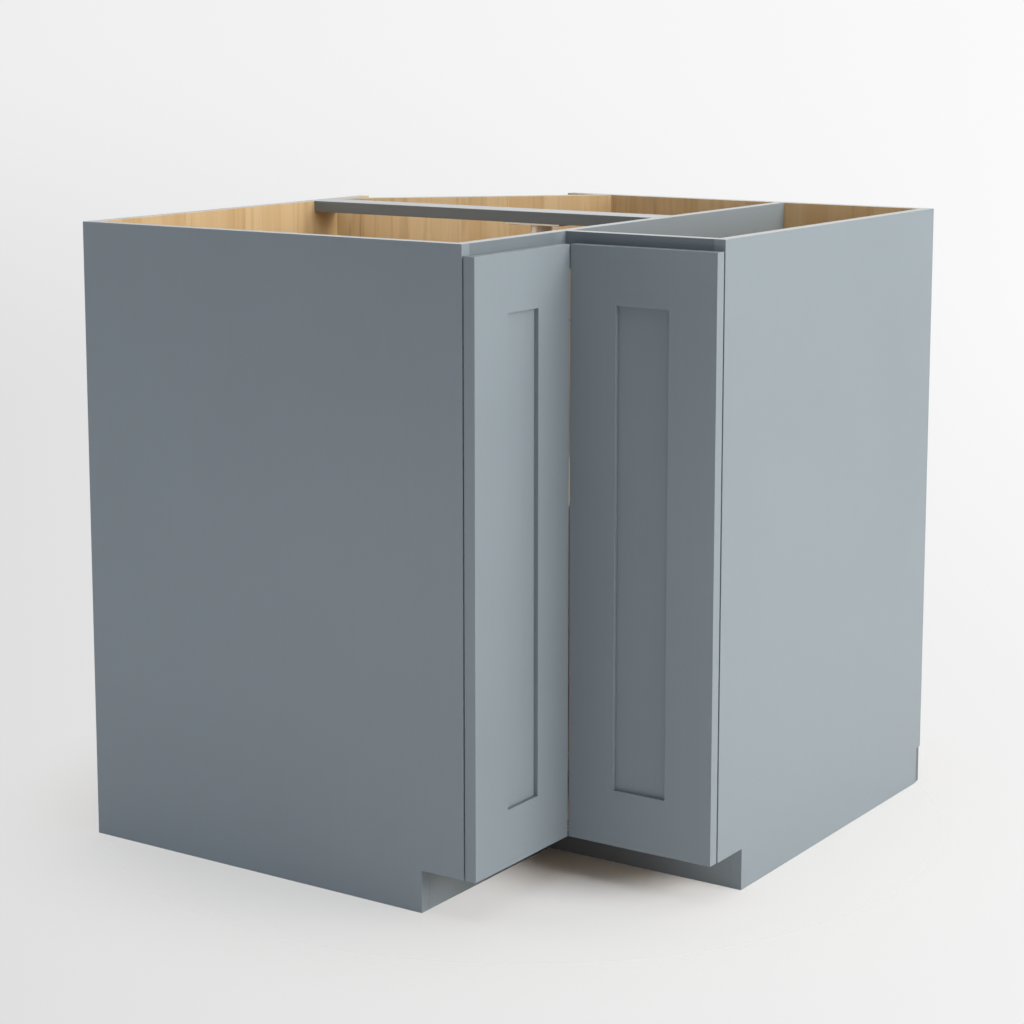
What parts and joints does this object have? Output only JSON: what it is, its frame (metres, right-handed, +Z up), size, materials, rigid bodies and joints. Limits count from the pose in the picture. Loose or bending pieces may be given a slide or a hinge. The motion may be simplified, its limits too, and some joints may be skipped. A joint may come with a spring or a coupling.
{
  "type": "corner carousel cabinet",
  "caption": "L-shaped kitchen corner base cabinet with an open top, bi-fold shaker doors in the inner corner, toe kick, diagonal back and round trays turning on a pole.",
  "frame": {"origin": "on the floor, in the middle of the square that the two wings span along the room's walls", "axes": "+Z up; the walls are at -X and +Y; the left wing ends at -Y and the right wing at +X; the doors face +X and -Y in the inner corner"},
  "size_m": [0.838, 0.838, 0.838],
  "materials": {
    "painted_board": "satin blue-grey paint on board",
    "maple_board": "clear-coated natural maple veneer",
    "toe_paint": "satin blue-grey paint on board",
    "nickel_steel": "nickel-plated pressed steel",
    "pole_steel": "chromed tube",
    "white_plastic": "moulded polymer",
    "tan_plastic": "moulded almond polymer",
    "clear_bumper": "soft clear bumper",
    "dark_screw": "black oxide"
  },
  "bodies": {
    "carcass": {"left_end_panel": "painted_board", "right_end_panel": "painted_board", "left_back_panel": "maple_board", "right_back_panel": "maple_board", "diagonal_back_panel": "maple_board", "bottom_panel": "maple_board", "long_top_rail": "painted_board", "right_top_rail": "painted_board", "cross_top_rail": "painted_board", "left_toe_kick": "toe_paint", "right_toe_kick": "toe_paint", "left_rear_base_rail": "maple_board", "right_rear_base_rail": "painted_board", "corner_base_rail": "maple_board", "door_catch": "white_plastic", "lower_hinge_plate": "nickel_steel", "lower_hinge_arm": "nickel_steel", "upper_hinge_plate": "nickel_steel", "upper_hinge_arm": "nickel_steel", "pole_bearing": "white_plastic", "lower_pole": "pole_steel", "upper_pole": "pole_steel", "pole_lock_collar": "nickel_steel", "top_bracket": "nickel_steel", "lower_collar": "nickel_steel", "lower_collar_screw": "dark_screw", "upper_collar": "nickel_steel", "upper_collar_screw": "dark_screw"},
    "right_door": {"right_door_outer_stile": "painted_board", "right_door_inner_stile": "painted_board", "right_door_top_rail": "painted_board", "right_door_bottom_rail": "painted_board", "right_door_panel": "painted_board", "right_lower_bumper": "clear_bumper", "right_upper_bumper": "clear_bumper", "lower_hinge_cup": "nickel_steel", "upper_hinge_cup": "nickel_steel", "lower_fold_plate": "nickel_steel", "lower_fold_arm": "nickel_steel", "upper_fold_plate": "nickel_steel", "upper_fold_arm": "nickel_steel"},
    "left_door": {"left_door_outer_stile": "painted_board", "left_door_inner_stile": "painted_board", "left_door_top_rail": "painted_board", "left_door_bottom_rail": "painted_board", "left_door_panel": "painted_board", "left_lower_bumper": "clear_bumper", "left_upper_bumper": "clear_bumper", "lower_fold_cup": "nickel_steel", "upper_fold_cup": "nickel_steel", "catch_strike": "nickel_steel"},
    "hinge_first_links": {"lower_hinge_first_link": "nickel_steel", "upper_hinge_first_link": "nickel_steel"},
    "hinge_second_links": {"lower_hinge_second_link": "nickel_steel", "upper_hinge_second_link": "nickel_steel"},
    "fold_links": {"lower_fold_link": "nickel_steel", "upper_fold_link": "nickel_steel"},
    "lower_tray": {"lower_tray": "tan_plastic"},
    "upper_tray": {"upper_tray": "tan_plastic"}
  },
  "joints": [
    {"name": "right_door_hinge", "type": "hinge", "parent": "carcass", "child": "right_door", "pos_m": [0.413, -0.2035, 0.43925], "axis": [0, 0, 1], "range_deg": [0, 165]},
    {"name": "door_fold", "type": "hinge", "parent": "right_door", "child": "left_door", "pos_m": [0.208, -0.208, 0.43925], "axis": [0, 0, 1], "range_deg": [-60, 0]},
    {"name": "first_link_turn", "type": "hinge", "parent": "carcass", "child": "hinge_first_links", "pos_m": [0.413, -0.2035, 0.43925], "axis": [0, 0, 1], "range_deg": [0, 55]},
    {"name": "second_link_turn", "type": "hinge", "parent": "carcass", "child": "hinge_second_links", "pos_m": [0.413, -0.2035, 0.43925], "axis": [0, 0, 1], "range_deg": [0, 110]},
    {"name": "fold_link_turn", "type": "hinge", "parent": "right_door", "child": "fold_links", "pos_m": [0.208, -0.208, 0.43925], "axis": [0, 0, 1], "range_deg": [-30, 0]},
    {"name": "lower_tray_spin", "type": "hinge", "parent": "carcass", "child": "lower_tray", "pos_m": [-0.02, 0.077, 0.3], "axis": [0, 0, 1], "continuous": true},
    {"name": "upper_tray_spin", "type": "hinge", "parent": "carcass", "child": "upper_tray", "pos_m": [-0.02, 0.077, 0.3], "axis": [0, 0, 1], "continuous": true}
  ],
  "couplings": [
    {"joint": "door_fold", "follows": "right_door_hinge", "ratio": -0.3636},
    {"joint": "first_link_turn", "follows": "right_door_hinge", "ratio": 0.3333},
    {"joint": "second_link_turn", "follows": "right_door_hinge", "ratio": 0.6666},
    {"joint": "fold_link_turn", "follows": "right_door_hinge", "ratio": -0.1818}
  ]
}
